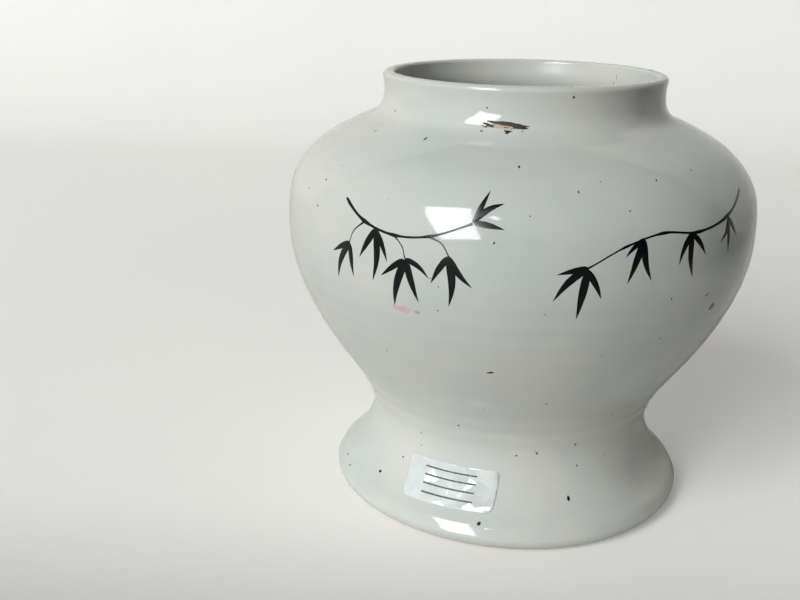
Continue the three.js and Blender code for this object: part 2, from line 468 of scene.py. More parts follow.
@dataclass
class JarForm:
    """The jar's section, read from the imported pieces, and points on its surfaces."""

    wall_nodes: tuple[str, ...] = ("spreading_foot", "lower_body", "shoulder_section", "neck_collar")
    station_gap: float = 2.6 * MM
    table_size: int = 1600
    lip_round: float = 1.3 * MM
    lip_inner_round: float = 1.04 * MM
    top_set_in: float = 0.05 * MM
    sway: float = 0.1 * MM
    throwing_ring: float = 0.012 * MM
    throwing_pitch: float = 5.2 * MM
    foot_warp: float = 0.4 * MM
    warp_top: float = 25 * MM
    tables: dict[Wall, tuple[np.ndarray, np.ndarray]] = field(default_factory=dict)

    def __post_init__(self) -> None:
        """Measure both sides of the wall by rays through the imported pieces."""
        points: list[Vector] = []
        faces: list[tuple[int, ...]] = []
        for name in self.wall_nodes:
            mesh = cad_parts[name].data
            start = len(points)
            points.extend(v.co.copy() for v in mesh.vertices)
            faces.extend(tuple(start + i for i in p.vertices) for p in mesh.polygons)
        self.tree = BVHTree.FromPolygons(points, faces)
        self.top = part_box("neck_collar")[1].z - self.top_set_in
        self.floor_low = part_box("floor_disc")[0].z
        self.floor_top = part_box("floor_disc")[1].z
        self.floor_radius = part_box("floor_disc")[1].x
        self.measure(Wall.OUTER, 4.4 * MM, self.top - self.lip_round)
        self.measure(Wall.INNER, self.floor_top + 0.4 * MM, self.top - self.lip_inner_round - 0.4 * MM)

    def ray_radius(self, wall: Wall, height: float) -> float:
        """Radius of one side of the wall where a level ray meets it, at the corner of a facet.

        Args:
            wall: Which side of the wall.
            height: The height above the foot's resting face.

        Returns:
            The radius in metres, or 0 where the ray meets nothing.
        """
        angle = math.pi / CAD_FACETS
        outward = Vector((math.cos(angle), math.sin(angle), 0))
        far = 0.2
        start = outward * far if wall is Wall.OUTER else Vector((0, 0, 0))
        heading = -outward if wall is Wall.OUTER else outward
        hit = self.tree.ray_cast(start + Vector((0, 0, height)), heading)
        if hit[0] is None:
            return 0.0
        return math.hypot(hit[0].x, hit[0].y) / math.cos(angle)

    def measure(self, wall: Wall, low: float, high: float) -> None:
        """Fill one side's table of radius against height with a smooth curve.

        Args:
            wall: Which side of the wall.
            low: The lowest height.
            high: The highest height.
        """
        stations = np.linspace(low, high, round((high - low) / self.station_gap))
        found = [(h, self.ray_radius(wall, h)) for h in stations]
        known = np.array([pair for pair in found if pair[1] > 0])
        smooth = catmull_rom(known, self.table_size)
        self.tables[wall] = (smooth[:, 0], smooth[:, 1])

    def radius(self, wall: Wall, height: float) -> float:
        """Radius of one side of the wall at a height."""
        heights, radii = self.tables[wall]
        return float(np.interp(height, heights, radii))

    def wobble(self, angle: float, height: float) -> float:
        """How far the hand-thrown and kiln-warped wall strays from a true circle.

        Args:
            angle: The angle round the jar, 0 at the front.
            height: The height above the foot's resting face.

        Returns:
            The stray in metres, outwards. On the body it only goes inwards.
        """
        share = min(max(height / self.top, 0), 1)
        oval = self.sway * share * (math.cos(2 * angle + 0.7) + 0.5 * math.cos(3 * angle - 1.1) - 1.5)
        rings = self.throwing_ring * (math.sin(2 * math.pi * height / self.throwing_pitch + angle) - 1)
        fade = max(1 - height / self.warp_top, 0) ** 0.7
        lobes = 0.4 - 0.25 * math.sin(angle) - 0.9 * math.cos(2 * angle) + math.sin(3 * angle)
        return oval + rings * share + self.foot_warp * fade * lobes

    def place(self, radius: float, angle: float, height: float) -> Vector:
        """A point at a radius, an angle from the front, and a height."""
        return Vector((radius * math.sin(angle), -radius * math.cos(angle), height))

    def on_wall(self, wall: Wall, across: float, height: float, lift: float, azimuth: float) -> Vector:
        """A point on the glaze of one side of the wall.

        Args:
            wall: Which side of the wall.
            across: The distance along the glaze from the azimuth, to the right.
            height: The height above the foot's resting face.
            lift: The distance off the glaze.
            azimuth: The angle from the front, in radians.

        Returns:
            The point in metres.
        """
        base = self.radius(wall, height)
        angle = azimuth + across / base
        off = lift if wall is Wall.OUTER else -lift
        return self.place(base + self.wobble(angle, height) + off, angle, height)

    def wall_spot(self, azimuth: float, height: float, wall: Wall = Wall.OUTER) -> Spot:
        """Name a place on the wall that a patch is laid round.

        Args:
            azimuth: The angle from the front, in degrees.
            height: The height, in millimetres.
            wall: Which side of the wall.

        Returns:
            A function that takes a point's distance across and up from the place and off the
            glaze, in metres, and gives the point.
        """

        def spot(across: float, up: float, lift: float) -> Vector:
            """A point of the patch."""
            return self.on_wall(wall, across, height * MM + up, lift, math.radians(azimuth))

        return spot

    def lip(self) -> list[Point]:
        """The lip's section, from the outer wall over the top to the inner wall.

        Returns:
            The points as radius and height.
        """
        outer = self.radius(Wall.OUTER, self.top - self.lip_round) - self.lip_round
        inner = self.radius(Wall.INNER, self.top - self.lip_inner_round) + self.lip_inner_round
        out_turn = arc((outer, self.top - self.lip_round), self.lip_round, 0, 90, 10)
        in_turn = arc((inner, self.top - self.lip_inner_round), self.lip_inner_round, 90, 180, 8)
        return out_turn + in_turn

    def lip_spot(self, azimuth: float, out: float = 0.0) -> Spot:
        """Name a place on the lip that a patch is laid round.

        Args:
            azimuth: The angle from the front, in degrees.
            out: How far the place lies outwards from the top of the outer turn, in millimetres.

        Returns:
            A function that takes a point's distance across and outwards from the place and off the
            lip, in metres, and gives the point.
        """
        section = np.array(self.lip())
        steps = np.hypot(*np.diff(section, axis=0).T)
        along = np.concatenate([[0], np.cumsum(steps)])
        crest = math.pi / 2 * self.lip_round
        core = np.array([section[0][0] - self.lip_round, self.top - self.lip_round])

        def spot(across: float, up: float, lift: float) -> Vector:
            """A point of the patch."""
            run = crest - out * MM - up
            at = np.array([np.interp(run, along, section[:, 0]), np.interp(run, along, section[:, 1])])
            away = (at - core) / np.hypot(*(at - core))
            radius, height = at + away * lift
            angle = math.radians(azimuth) + across / float(radius)
            return self.place(float(radius) + self.wobble(angle, float(height)), angle, float(height))

        return spot


def finish_piece(piece: bpy.types.Object, slot: str, *replaced: str) -> bpy.types.Object:
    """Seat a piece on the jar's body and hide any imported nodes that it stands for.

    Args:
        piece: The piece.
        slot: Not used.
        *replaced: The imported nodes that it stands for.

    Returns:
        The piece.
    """
    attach(piece, BODY)
    if replaced:
        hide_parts(*replaced)
    log.info("%s: %d faces", piece.name, len(piece.data.polygons))
    return piece


def mesh_piece(
    name: str,
    points: Sequence[Vector],
    faces: Sequence[Sequence[int]],
    materials: Iterable[bpy.types.Material],
) -> bpy.types.Object:
    """Make a smooth mesh object.

    Args:
        name: The piece's name.
        points: Its points in metres.
        faces: Its faces as point numbers.
        materials: Its materials, in slot order.

    Returns:
        The new object, linked to the scene.
    """
    mesh = bpy.data.meshes.new(name)
    mesh.from_pydata([tuple(p) for p in points], [], [tuple(f) for f in faces])
    mesh.polygons.foreach_set("use_smooth", [True] * len(mesh.polygons))
    for material in materials:
        mesh.materials.append(material)
    mesh.update()
    piece = bpy.data.objects.new(name, mesh)
    bpy.context.scene.collection.objects.link(piece)
    return piece


def hold(piece: bpy.types.Object, name: str, values: Sequence[float]) -> None:
    """Give each point of a piece a value that its material reads.

    Args:
        piece: The piece.
        name: The value's name.
        values: One value a point.
    """
    held = piece.data.attributes.new(name, "FLOAT", "POINT")
    held.data.foreach_set("value", list(values))


def turn_out(piece: bpy.types.Object) -> None:
    """Make every face of a closed mesh look outwards."""
    edit = bmesh.new()
    edit.from_mesh(piece.data)
    bmesh.ops.recalc_face_normals(edit, faces=edit.faces)
    edit.to_mesh(piece.data)
    edit.free()
    piece.data.update()


def revolve(
    form: JarForm,
    name: str,
    section: Sequence[Point],
    segments: int,
    materials: Iterable[bpy.types.Material],
    closed: bool = True,
) -> bpy.types.Object:
    """Turn a section round the jar's axis, with the wall's wobble.

    Args:
        form: The jar's form.
        name: The piece's name.
        section: The points as radius and height, going round the solid.
        segments: How many steps the turn takes.
        materials: The piece's materials.
        closed: Whether the section closes on itself; if not, its ends lie on the axis.

    Returns:
        The new object.
    """
    points: list[Vector] = []
    inner = section if closed else section[1:-1]
    for step in range(segments):
        angle = 2 * math.pi * step / segments
        for radius, height in inner:
            points.append(form.place(radius + form.wobble(angle, height), angle, height))
    rows = len(inner)
    faces: list[tuple[int, ...]] = []
    for step in range(segments):
        here = step * rows
        there = ((step + 1) % segments) * rows
        for row in range(rows if closed else rows - 1):
            after = (row + 1) % rows
            faces.append((here + row, there + row, there + after, here + after))
    if not closed:
        for end, row, flip in ((section[0], 0, True), (section[-1], rows - 1, False)):
            tip = len(points)
            points.append(Vector((0, 0, end[1])))
            for step in range(segments):
                here = step * rows + row
                there = ((step + 1) % segments) * rows + row
                faces.append((there, here, tip) if flip else (here, there, tip))
    piece = mesh_piece(name, points, faces, materials)
    turn_out(piece)
    return piece


@dataclass
class GlazedShell:
    """The jar's wall: spreading foot, body, shoulder and neck under one coat of glaze."""

    form: JarForm
    ring_outer: float = 51.4 * MM
    ring_inner: float = 47.2 * MM
    ring_chamfer: float = 0.9 * MM
    toe_height: float = 4.4 * MM
    toe_rake: float = 0.24
    toe_steps: int = 16
    floor_gap: float = 0.3 * MM
    recess_round: float = 0.4 * MM
    rows: int = 190
    segments: int = 256
    seam_nodes: tuple[str, ...] = ("waist_slip_seam", "belly_slip_seam", "neck_slip_seam")
    bead_height: float = 0.7 * MM
    bead_width: float = 1.6 * MM
    bare_height: float = 0.36 * MM
    bare_inside_height: float = 0.95 * MM
    inner_depth: float = 1.6 * MM

    def swell(self, height: float) -> float:
        """How far the inner wall stands proud near its two lower seams.

        Args:
            height: The height above the foot's resting face.

        Returns:
            The swell in metres.
        """
        seams = [sum(corner.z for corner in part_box(name)) / 2 for name in self.seam_nodes[:2]]
        return sum(self.bead_height * math.exp(-(((height - seam) / self.bead_width) ** 2)) for seam in seams)

    def toe(self) -> list[Point]:
        """The rounded edge from the foot ring up to the foot's widest ring.

        Returns:
            The points as radius and height.
        """
        widest = self.form.radius(Wall.OUTER, self.toe_height)
        made = []
        for i in range(self.toe_steps + 1):
            share = math.sin(math.pi / 2 * i / self.toe_steps)
            round_up = 1 - math.sqrt(max(1 - share**2, 0))
            height = self.toe_height * (self.toe_rake * share + (1 - self.toe_rake) * round_up)
            made.append((self.ring_outer + (widest - self.ring_outer) * share, height))
        return made

    def section(self) -> list[Point]:
        """The closed section of the wall, from the foot ring up, over the lip and down inside.

        Returns:
            The points as radius and height.
        """
        form = self.form
        outer_heights = np.linspace(self.toe_height, form.top - form.lip_round, self.rows)[1:-1]
        outer = [(form.radius(Wall.OUTER, h), h) for h in outer_heights]
        inner_heights = np.linspace(form.top - form.lip_inner_round, form.floor_top, self.rows // 2)[1:-1]
        inner = [(form.radius(Wall.INNER, h) - self.swell(h), h) for h in inner_heights]
        bore = form.floor_radius + self.floor_gap
        under = [
            (bore, form.floor_top),
            (bore, form.floor_low),
            (self.ring_inner - self.recess_round, form.floor_low),
            (self.ring_inner, form.floor_low - self.recess_round),
            (self.ring_inner, self.ring_chamfer),
            (self.ring_inner + self.ring_chamfer, 0.0),
        ]
        return self.toe() + outer + form.lip() + inner + under

    def thinness(self, height: float) -> float:
        """How thin the glaze is at a height, from 0 to 1: it runs off the toe and the lip's edge."""
        toe = 1 - (height - 0.6 * MM) / (2.2 * MM)
        lip = 0.2 * (height - self.form.top + 0.8 * MM) / (0.5 * MM)
        return min(max(toe, lip, 0.0), 1.0)

    def insideness(self, point: Vector) -> float:
        """Say with 1 or 0 whether a point is on the wall's inner side, where the glaze is duller."""
        if not self.form.floor_top <= point.z < self.form.top - self.form.lip_inner_round:
            return 0.0
        depth = self.form.radius(Wall.OUTER, point.z) - math.hypot(point.x, point.y)
        return float(depth > self.inner_depth)

    def is_bare(self, corners: Sequence[Vector]) -> bool:
        """Say whether a face of the foot ring is bare clay."""
        highest = max(corner.z for corner in corners)
        inside = all(math.hypot(corner.x, corner.y) < self.ring_outer for corner in corners)
        return highest <= self.bare_height or (inside and highest <= self.bare_inside_height)

    def build(self, glaze: bpy.types.Material, biscuit: bpy.types.Material) -> bpy.types.Object:
        """Make the shell and bare the ring it stands on.

        Args:
            glaze: The glaze.
            biscuit: The bare clay.

        Returns:
            The shell.
        """
        piece = revolve(self.form, "glazed_shell", self.section(), self.segments, (glaze, biscuit))
        vertices = piece.data.vertices
        for face in piece.data.polygons:
            if self.is_bare([vertices[i].co for i in face.vertices]):
                face.material_index = 1
        hold(piece, "thin", [self.thinness(vertex.co.z) for vertex in vertices])
        hold(piece, "inside", [self.insideness(vertex.co) for vertex in vertices])
        return finish_piece(piece, "glaze", *self.form.wall_nodes, *self.seam_nodes)


@dataclass
class Floor:
    """The jar's floor with its fillet of slip, glazed on both sides."""

    form: JarForm
    fillet: float = 2.4 * MM
    rise: float = 0.35 * MM
    overlap: float = 0.2 * MM
    segments: int = 192

    def hollow(self) -> list[Point]:
        """The fillet's hollow section, from the wall down to the floor.

        Returns:
            The points as radius and height.
        """
        top = self.form.floor_top
        head = self.form.radius(Wall.INNER, top + self.fillet) - self.overlap
        corner = (head - 0.3 * MM, top + 0.3 * MM)
        foot = head - 1.4 * self.fillet
        made = []
        for i in range(9):
            t = i / 8
            radius = (1 - t) ** 2 * head + 2 * t * (1 - t) * corner[0] + t**2 * foot
            height = (1 - t) ** 2 * (top + self.fillet) + 2 * t * (1 - t) * corner[1] + t**2 * top
            made.append((radius, height))
        return made

    def build(self, glaze: bpy.types.Material) -> bpy.types.Object:
        """Make the floor, a disc that rises a little at its middle.

        Args:
            glaze: The glaze.

        Returns:
            The floor.
        """
        low, top, edge = self.form.floor_low, self.form.floor_top, self.form.floor_radius
        wall_foot = self.form.radius(Wall.INNER, top + 0.5 * MM) - self.overlap
        under = [(edge * i / 14, low + self.rise * (1 - (i / 14) ** 2)) for i in range(15)]
        rim = [(edge, low + 0.2 * MM), (edge, top - 0.1 * MM), (wall_foot, top + 0.2 * MM)]
        hollow = self.hollow()
        reach = hollow[-1][0]
        above = [(reach * (1 - i / 12), top + self.rise * (1 - (1 - i / 12) ** 2)) for i in range(1, 13)]
        section = under + rim + hollow + above
        piece = revolve(self.form, "floor", section, self.segments, (glaze,), closed=False)
        return finish_piece(piece, "floor_glaze", "floor_disc", "floor_slip_seam")


@dataclass
class Brushwork:
    """Two sprays of ink bamboo round the belly, each stroke a thin raised ribbon of enamel.

    Places are in millimetres: the distance round the belly from the front, and the height.
    """

    form: JarForm
    belly_height: float = 86 * MM
    lift: float = 0.05 * MM
    sink: float = 0.05 * MM
    across_steps: int = 6
    tip_width: float = 0.05
    boldness: float = 1.3
    seed: int = 11
    points: list[Vector] = field(default_factory=list)
    faces: list[tuple[int, ...]] = field(default_factory=list)
    dryness: list[float] = field(default_factory=list)

    def stroke(
        self, line: Sequence[Point], width: Callable[[float], float], dry_end: float, steps: int = 26
    ) -> None:
        """Lay one stroke on the glaze.

        Args:
            line: Points of the stroke's middle, in millimetres.
            width: The stroke's full width in millimetres at a share of its length.
            dry_end: How dry the brush is at the end, from 0 to 1.
            steps: How many steps the stroke takes.
        """
        girth = self.form.radius(Wall.OUTER, self.belly_height)
        curve = catmull_rom(np.array(line, float), steps + 1) * MM
        heading = np.gradient(curve, axis=0)
        start = len(self.points)
        for i, (where, way) in enumerate(zip(curve, heading)):
            share = i / steps
            side = np.array([-way[1], way[0]]) / np.hypot(*way)
            half = max(width(share) * self.boldness, self.tip_width) * MM / 2
            for j in range(self.across_steps + 1):
                u = 2 * j / self.across_steps - 1
                x, height = where + side * half * u
                rise = self.lift * (1 - u * u) - self.sink * u**4
                self.points.append(self.form.on_wall(Wall.OUTER, 0.0, height, rise, x / girth))
                self.dryness.append(dry_end * share**2)
        row = self.across_steps + 1
        for i in range(steps):
            for j in range(self.across_steps):
                a = start + i * row + j
                self.faces.append((a, a + 1, a + 1 + row, a + row))

    def leaf(self, x: float, y: float, angle: float, length: float, fat: float, bend: float) -> None:
        """Brush one leaf: a short stalk, a full belly and a long drawn-out point.

        Args:
            x: The start's distance from the front.
            y: The start's height.
            angle: The way the leaf points, in degrees, 0 to the right and 90 up.
            length: The leaf's length.
            fat: The leaf's greatest width.
            bend: How far the leaf bows, as a share of its length.
        """
        a = math.radians(angle)
        along = np.array([math.cos(a), math.sin(a)])
        side = np.array([-along[1], along[0]])
        start = np.array([x, y])
        shares = (0, 0.2, 0.45, 0.7, 1)
        line = [tuple(start + along * length * t + side * length * bend * math.sin(math.pi * t)) for t in shares]

        def width(t: float) -> float:
            """Full early, then drawn out to a point."""
            return fat * t**0.5 * (1 - t) ** 0.9 * 2.05

        self.stroke(line, width, dry_end=0.55)

    def branch(self, line: Sequence[Point], thick: float, joints: int) -> None:
        """Brush one branch, a little wider at each joint and thinner towards its end.

        Args:
            line: Points of the branch.
            thick: The branch's width at its start.
            joints: How many joints it has.
        """

        def width(t: float) -> float:
            """Widest at the joints, thin at the tip."""
            knuckle = abs(math.cos(math.pi * joints * t)) ** 10
            return thick * (1 - 0.5 * t) * (0.75 + 0.45 * knuckle) * min(1.0, 0.35 + 14 * t)

        self.stroke(line, width, dry_end=0.75, steps=20 * joints)

    def sprig(self, x: float, y: float, fan: Sequence[tuple[float, float, float]]) -> None:
        """Brush a fan of leaves from one point.

        Args:
            x: The point's distance from the front.
            y: The point's height.
            fan: One angle, length and width for each leaf.
        """
        dice = random.Random(self.seed + round(x * 7 + y))
        for angle, length, fat in fan:
            bend = dice.uniform(-0.09, 0.11)
            self.leaf(x + dice.uniform(-0.4, 0.4), y + dice.uniform(-0.4, 0.4), angle, length, fat, bend)

    def left_spray(self) -> None:
        """Brush the fuller spray on the left of the front."""
        self.branch([(-51, 102), (-42, 97.5), (-32, 95.5), (-22, 96.5), (-11, 100.5)], 1.1, 4)
        self.branch([(-42, 97.5), (-45.5, 94.5), (-47, 91)], 0.6, 1)
        self.branch([(-32, 95.5), (-29.5, 93), (-28.5, 90)], 0.6, 1)
        self.branch([(-22, 96.5), (-18.5, 95), (-16.5, 92)], 0.6, 1)
        self.sprig(-47, 91, [(-152, 8, 1.9), (-116, 12, 2.4), (-82, 9, 2.0)])
        self.sprig(-38, 96.5, [(-122, 10, 2.2), (-93, 14, 2.6), (-62, 9, 2.0)])
        self.sprig(-28.5, 90, [(-142, 9, 2.0), (-106, 14, 2.8), (-72, 12, 2.5), (-32, 8, 1.8)])
        self.sprig(-16.5, 92, [(-122, 9, 2.1), (-88, 13, 2.6), (-50, 10, 2.2)])
        self.sprig(-11, 100.5, [(66, 8, 1.8), (30, 9, 1.9), (-8, 8, 1.8)])

    def right_spray(self) -> None:
        """Brush the lighter spray that comes in from the right."""
        self.branch([(78, 104), (64, 99), (51, 97), (39, 98), (28, 95.5), (18, 90.5)], 1.0, 5)
        self.sprig(18, 90.5, [(-168, 8, 1.9), (-134, 12, 2.5), (-98, 13.5, 2.7), (-60, 9, 2.1)])
        self.sprig(33, 97, [(-142, 7, 1.7), (-110, 12, 2.5), (-76, 11, 2.3)])
        self.sprig(49, 97, [(-120, 9, 2.1), (-86, 12, 2.4), (-50, 8, 1.9)])
        self.sprig(65, 99.2, [(-128, 8, 1.9), (-92, 10, 2.1), (-54, 7, 1.7)])

    def build(self, ink: bpy.types.Material) -> bpy.types.Object:
        """Brush the design and make it one piece.

        Args:
            ink: The ink.

        Returns:
            The brushwork.
        """
        self.left_spray()
        self.right_spray()
        piece = mesh_piece("ink_bamboo", self.points, self.faces, (ink,))
        hold(piece, "dry", self.dryness)
        return finish_piece(piece, "glaze")


@dataclass
class Marks:
    """Patches of one kind of mark on the jar, each a thin ragged dome."""

    kind: Blemish
    lift: float = 0.03 * MM
    sink: float = 0.01 * MM
    points: list[Vector] = field(default_factory=list)
    faces: list[tuple[int, ...]] = field(default_factory=list)
    fades: list[float] = field(default_factory=list)

    def patch(
        self,
        spot: Spot,
        wide: float,
        tall: float,
        seed: int,
        tilt: float = 0.0,
        rings: int = 3,
        spokes: int = 14,
        ragged: float = 0.25,
        strength: float = 1.0,
    ) -> None:
        """Lay one ragged oval patch.

        Args:
            spot: The place that it is laid round.
            wide: The patch's width, in millimetres.
            tall: The patch's height, in millimetres.
            seed: The seed of its ragged edge.
            tilt: The patch's turn, in degrees.
            rings: How many rings of points it has.
            spokes: How many points each ring has.
            ragged: How uneven the edge is.
            strength: How strong its middle is, from 0 to 1.
        """
        dice = random.Random(seed)
        waves = [(k, dice.uniform(0, 2 * math.pi), dice.uniform(0.3, 1.0) / k**0.7) for k in (2, 3, 5, 7, 11)]
        turn = math.radians(tilt)
        centre = len(self.points)
        self.points.append(spot(0, 0, self.lift))
        self.fades.append(strength)
        for ring in range(1, rings + 1):
            share = ring / rings
            for spoke in range(spokes):
                a = 2 * math.pi * spoke / spokes
                edge = 1 + ragged * sum(s * math.sin(k * a + p) for k, p, s in waves) * share
                x = wide / 2 * share * edge * math.cos(a) * MM
                y = tall / 2 * share * edge * math.sin(a) * MM
                across = x * math.cos(turn) - y * math.sin(turn)
                up = x * math.sin(turn) + y * math.cos(turn)
                rise = self.lift * (1 - share**2) - self.sink * share
                self.points.append(spot(across, up, rise))
                self.fades.append(strength * (1 - share))
        for spoke in range(spokes):
            after = (spoke + 1) % spokes
            self.faces.append((centre, centre + 1 + spoke, centre + 1 + after))
            for ring in range(rings - 1):
                a = centre + 1 + ring * spokes
                self.faces.append((a + spoke, a + spokes + spoke, a + spokes + after, a + after))

    def build(self, finish: bpy.types.Material) -> bpy.types.Object:
        """Join the patches into one piece.

        Args:
            finish: The mark's material.

        Returns:
            The marks.
        """
        piece = mesh_piece(self.kind.value, self.points, self.faces, (finish,))
        hold(piece, "fade", self.fades)
        return finish_piece(piece, "glaze")


@dataclass
class KilnMarks:
    """Everything that the kiln and long use left on the glaze."""

    form: JarForm
    fine_specks: int = 70
    fine_seed: int = 5
    fine_sizes: tuple[float, ...] = (0.25, 0.3, 0.35, 0.5)

    def iron_specks(self) -> None:
        """Scatter iron specks: the larger ones from a given list, the fine ones by a seeded draw."""
        larger = [
            (-30.8, 116.8, 1.0), (-63.6, 119.1, 0.7), (-57.0, 121.2, 0.9), (-12.8, 125.2, 0.7),
            (-54.1, 116.4, 0.8), (18.2, 128.4, 1.0), (-0.1, 112.9, 0.8), (13.4, 108.1, 0.7),
            (-52.0, 104.5, 0.9), (-57.8, 100.9, 0.7), (-32.2, 60.1, 0.6), (10.9, 47.5, 0.8),
            (-16.9, 35.0, 1.0), (4.2, 26.1, 0.8), (11.9, 26.9, 1.0), (26.8, 28.9, 1.1),
            (28.2, 21.8, 0.8), (23.3, 13.5, 1.7), (-34.6, 27.9, 0.7), (-73.3, 8.0, 0.9),
            (-66.5, 7.4, 0.9), (-50.5, 11.3, 1.4), (-7.1, 7.8, 1.4), (-42.6, 17.9, 0.9),
            (-44.2, 36.0, 0.5), (35.6, 68.3, 0.8), (21.0, 65.2, 0.5), (37.8, 38.6, 0.9),
            (35.0, 80.3, 0.7), (6.7, 78.4, 0.5), (-15.7, 77.2, 0.6), (-51.1, 97.8, 0.8),
            (-17.2, 85.9, 0.5), (2.7, 102.9, 0.5), (24.3, 103.7, 0.6), (34.0, 109.6, 0.7),
            (47.3, 110.6, 0.6), (-4.3, 96.4, 0.9), (-15.4, 83.9, 0.5),
            (128.0, 96.0, 1.1), (171.0, 64.0, 0.9), (-142.0, 88.0, 1.2),
            (-118.0, 52.0, 0.9), (152.0, 31.0, 1.0), (-166.0, 112.0, 0.8), (101.0, 70.0, 0.9),
        ]
        marks = Marks(Blemish.IRON_SPECK)
        for i, (azimuth, height, size) in enumerate(larger):
            marks.patch(self.form.wall_spot(azimuth, height), size, size * 0.72, seed=i, tilt=17 * i)
        where = self.form.wall_spot
        marks.patch(where(-4.5, 59.1), 2.4, 0.8, seed=61, tilt=18, ragged=0.4)
        marks.patch(where(46.5, 79.0), 2.4, 0.7, seed=62, tilt=24, ragged=0.4, strength=0.5)
        marks.patch(where(50.5, 74.4), 3.0, 2.6, seed=63, tilt=48, rings=4, spokes=24, ragged=0.4, strength=0.75)
        dice = random.Random(self.fine_seed)
        for i in range(self.fine_specks):
            place = where(dice.uniform(-180, 180), dice.uniform(6, 126))
            size = dice.choice(self.fine_sizes)
            marks.patch(place, size, size * dice.uniform(0.6, 1.0), seed=100 + i, rings=2, spokes=8)
        marks.build(MarkFinish("iron_speck", (32, 33, 28), (112, 110, 92)).build())

    def neck_flaw(self) -> None:
        """Lay the crawl at the neck's root: a ragged bare streak under a scorched one."""
        spot = self.form.wall_spot
        bare = Marks(Blemish.BARE_CLAY)
        bare.patch(spot(-5.6, 120.5), 11.0, 1.7, seed=3, tilt=-3, rings=6, spokes=52, ragged=0.26)
        clay = MarkFinish("bare_clay", (186, 170, 146), (150, 134, 112), roughness=0.7, halo_place=0.3, core_place=0.5)
        bare.build(clay.build())
        scorch = Marks(Blemish.SCORCH, lift=0.06 * MM, sink=0.0)
        scorch.patch(spot(-4.6, 121.3), 11.6, 1.25, seed=12, tilt=-4, rings=6, spokes=56, ragged=0.42)
        scorch.patch(spot(-0.6, 120.7), 4.2, 1.3, seed=31, tilt=-8, rings=5, spokes=34, ragged=0.4)
        scorch.patch(spot(-11.6, 120.9), 3.4, 0.8, seed=17, tilt=-10, rings=4, spokes=28, ragged=0.45)
        scorch.patch(spot(-4.6, 119.5), 2.6, 0.8, seed=24, tilt=4, rings=4, spokes=24, ragged=0.4)
        scorch.patch(spot(-13.6, 119.4), 1.5, 0.4, seed=41, rings=3, spokes=16, ragged=0.4)
        dice = random.Random(8)
        for i in range(16):
            grain = spot(dice.uniform(-14, 2.4), dice.gauss(120.7, 0.5))
            scorch.patch(grain, dice.uniform(0.3, 0.9), dice.uniform(0.2, 0.5), seed=500 + i, rings=2, spokes=12)
        burnt = MarkFinish("scorch", (44, 35, 27), (96, 80, 62), roughness=0.55, halo_place=0.28, core_place=0.46)
        scorch.build(burnt.build())

    def pink_smear(self) -> None:
        """Lay the smear of pink enamel under the left of the brushwork."""
        marks = Marks(Blemish.PINK_SMEAR)
        where = self.form.wall_spot
        marks.patch(where(-24.2, 75.9), 6.8, 2.7, seed=14, tilt=-6, rings=6, spokes=44, ragged=0.28, strength=0.5)
        marks.patch(where(-20.5, 75.7), 2.4, 1.5, seed=28, tilt=-14, rings=5, spokes=30, ragged=0.3)
        finish = MarkFinish(
            "pink_smear", (184, 150, 167), (208, 190, 196), mottle_scale=620.0, mottle=0.6, core_place=1.0
        )
        marks.build(finish.build())

    def lip_wear(self) -> None:
        """Lay the worn and stained places along the lip, most of them at the back."""
        marks = Marks(Blemish.LIP_WEAR)
        stains = [
            (-146, 2.8, 0.9), (-158, 2.0, 0.8), (-167, 1.5, 0.6), (-178, 2.6, 0.9), (170, 3.2, 0.8),
            (160, 1.2, 0.6), (134, 2.2, 1.1), (128, 1.3, 0.8), (117, 1.1, 0.7), (107, 3.8, 1.3),
            (99, 1.4, 0.8), (84, 1.0, 0.5), (17.2, 0.9, 0.6), (9.5, 0.6, 0.4), (-72, 0.9, 0.4),
        ]
        for i, (azimuth, wide, tall) in enumerate(stains):
            spot = self.form.lip_spot(azimuth, -0.5 if abs(azimuth) > 60 else 0.2)
            marks.patch(spot, wide, 1.3 * tall, seed=200 + i, rings=4, spokes=22, ragged=0.4)
        dice = random.Random(23)
        for i in range(34):
            spot = self.form.lip_spot(dice.uniform(75, 285), dice.uniform(-1.5, 0.3))
            marks.patch(spot, dice.uniform(0.6, 2.4), dice.uniform(0.2, 0.45), seed=300 + i, ragged=0.4)
        marks.build(MarkFinish("lip_wear", (98, 90, 74), (146, 142, 128), roughness=0.5).build())

    def hairline(self) -> None:
        """Draw the hairline crack that runs down inside the neck."""
        marks = Marks(Blemish.HAIRLINE, lift=0.02 * MM)
        places = ((129.0, 129.2), (130.4, 127.2), (131.6, 125.0), (132.2, 122.8))
        for i, (azimuth, height) in enumerate(places):
            spot = self.form.wall_spot(azimuth, height, Wall.INNER)
            marks.patch(spot, 0.2, 2.8, seed=400 + i, tilt=-12, rings=2, spokes=12, ragged=0.15)
        marks.build(MarkFinish("hairline", (96, 96, 88), (140, 142, 136), halo_place=0.3, core_place=0.5).build())

    def build(self) -> None:
        """Lay every mark."""
        self.iron_specks()
        self.neck_flaw()
        self.pink_smear()
        self.lip_wear()
        self.hairline()


